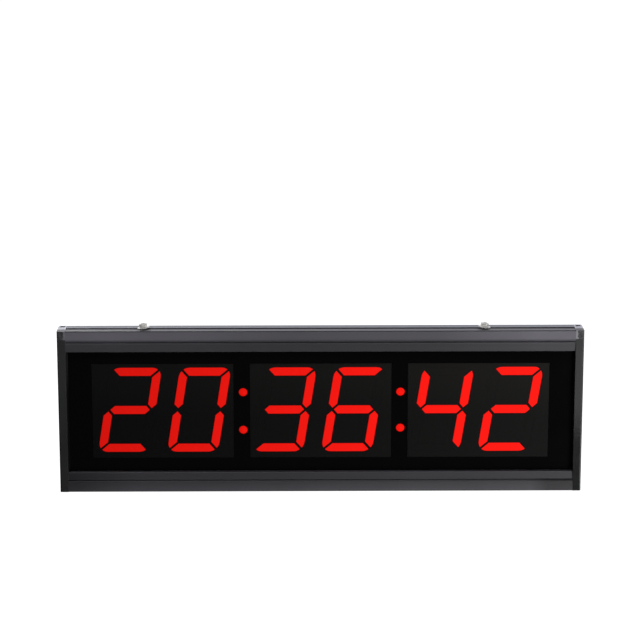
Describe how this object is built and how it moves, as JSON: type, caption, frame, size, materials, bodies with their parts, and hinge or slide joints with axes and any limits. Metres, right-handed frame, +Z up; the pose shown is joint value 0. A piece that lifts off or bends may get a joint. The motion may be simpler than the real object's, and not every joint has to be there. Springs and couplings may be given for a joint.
{
  "type": "gym round timer",
  "caption": "LED round timer with red seven-segment digits and colons in an extruded aluminium case, hung from bolts that slide in its top slot, or from keyholes.",
  "frame": {"origin": "middle of the case's underside", "axes": "+Z up, the display faces -Y, +X to the right of someone facing the display"},
  "size_m": [0.6, 0.03, 0.1969],
  "materials": {
    "rail": "fine satin, dark grey anodised",
    "side_rail": "satin, near-black anodised",
    "screw_steel": "satin",
    "panel": "smooth black, low gloss",
    "edge_strip": "matt",
    "display_face": "matt dark grey",
    "lit_red": "lit red diffuser",
    "circuit_board": "green solder mask",
    "led_body": "moulded ivory plastic",
    "black_plastic": "moulded, fine grain",
    "brass": "satin",
    "cell_steel": "bright",
    "ribbon": "ribbed grey insulation",
    "lead": "smooth insulation",
    "button_grey": "moulded, fine grain",
    "button_red": "moulded, fine grain",
    "hanger_zinc": "bright zinc plate"
  },
  "bodies": {
    "case": {"top_rail": "rail", "bottom_rail": "rail", "left_side_rail": "side_rail", "right_side_rail": "side_rail", "rail_screws": "screw_steel", "front_panel": "panel", "panel_edge_strip": "edge_strip", "hours_display_housing": "display_face", "minutes_display_housing": "display_face", "seconds_display_housing": "display_face", "hours_lit_segments": "lit_red", "minutes_lit_segments": "lit_red", "seconds_lit_segments": "lit_red", "hours_unlit_segments": "display_face", "minutes_unlit_segments": "display_face", "seconds_unlit_segments": "display_face", "hours_display_board": "circuit_board", "minutes_display_board": "circuit_board", "seconds_display_board": "circuit_board", "segment_leds": "led_body", "left_colon_lamps": "lit_red", "right_colon_lamps": "lit_red", "colon_boards": "circuit_board", "ir_receiver": "black_plastic", "panel_standoffs": "brass", "board_screws": "screw_steel", "main_board": "circuit_board", "main_board_standoffs": "brass", "main_board_screws": "screw_steel", "controller_chip": "black_plastic", "driver_chips": "black_plastic", "crystal": "cell_steel", "buzzer": "black_plastic", "battery_holder": "black_plastic", "coin_cell": "cell_steel", "power_parts": "black_plastic", "board_connectors": "led_body", "ribbon_cables": "ribbon", "dc_jack": "black_plastic", "jack_pin": "brass", "jack_nut": "screw_steel", "jack_leads": "lead", "tact_switches": "black_plastic", "back_cover": "side_rail", "back_cover_screws": "screw_steel"},
    "left_hanger": {"left_hanger_bolt": "hanger_zinc", "left_hanger_washer": "hanger_zinc", "left_hanger_nut": "hanger_zinc"},
    "right_hanger": {"right_hanger_bolt": "hanger_zinc", "right_hanger_washer": "hanger_zinc", "right_hanger_nut": "hanger_zinc"},
    "set_button": {"set_button": "button_grey"},
    "plus_button": {"plus_button": "button_grey"},
    "minus_button": {"minus_button": "button_grey"},
    "start_button": {"start_button": "button_red"}
  },
  "joints": [
    {"name": "left_hanger_slide", "type": "slide", "parent": "case", "child": "left_hanger", "axis": [1, 0, 0], "range_m": [-0.083, 0.19]},
    {"name": "right_hanger_slide", "type": "slide", "parent": "case", "child": "right_hanger", "axis": [1, 0, 0], "range_m": [-0.175, 0.098]},
    {"name": "set_button_press", "type": "slide", "parent": "case", "child": "set_button", "axis": [0, -1, 0], "range_m": [0, 0.0005], "stiffness_N_per_m": 900, "springref_m": -0.001},
    {"name": "plus_button_press", "type": "slide", "parent": "case", "child": "plus_button", "axis": [0, -1, 0], "range_m": [0, 0.0005], "stiffness_N_per_m": 900, "springref_m": -0.001},
    {"name": "minus_button_press", "type": "slide", "parent": "case", "child": "minus_button", "axis": [0, -1, 0], "range_m": [0, 0.0005], "stiffness_N_per_m": 900, "springref_m": -0.001},
    {"name": "start_button_press", "type": "slide", "parent": "case", "child": "start_button", "axis": [0, -1, 0], "range_m": [0, 0.0005], "stiffness_N_per_m": 900, "springref_m": -0.001}
  ]
}
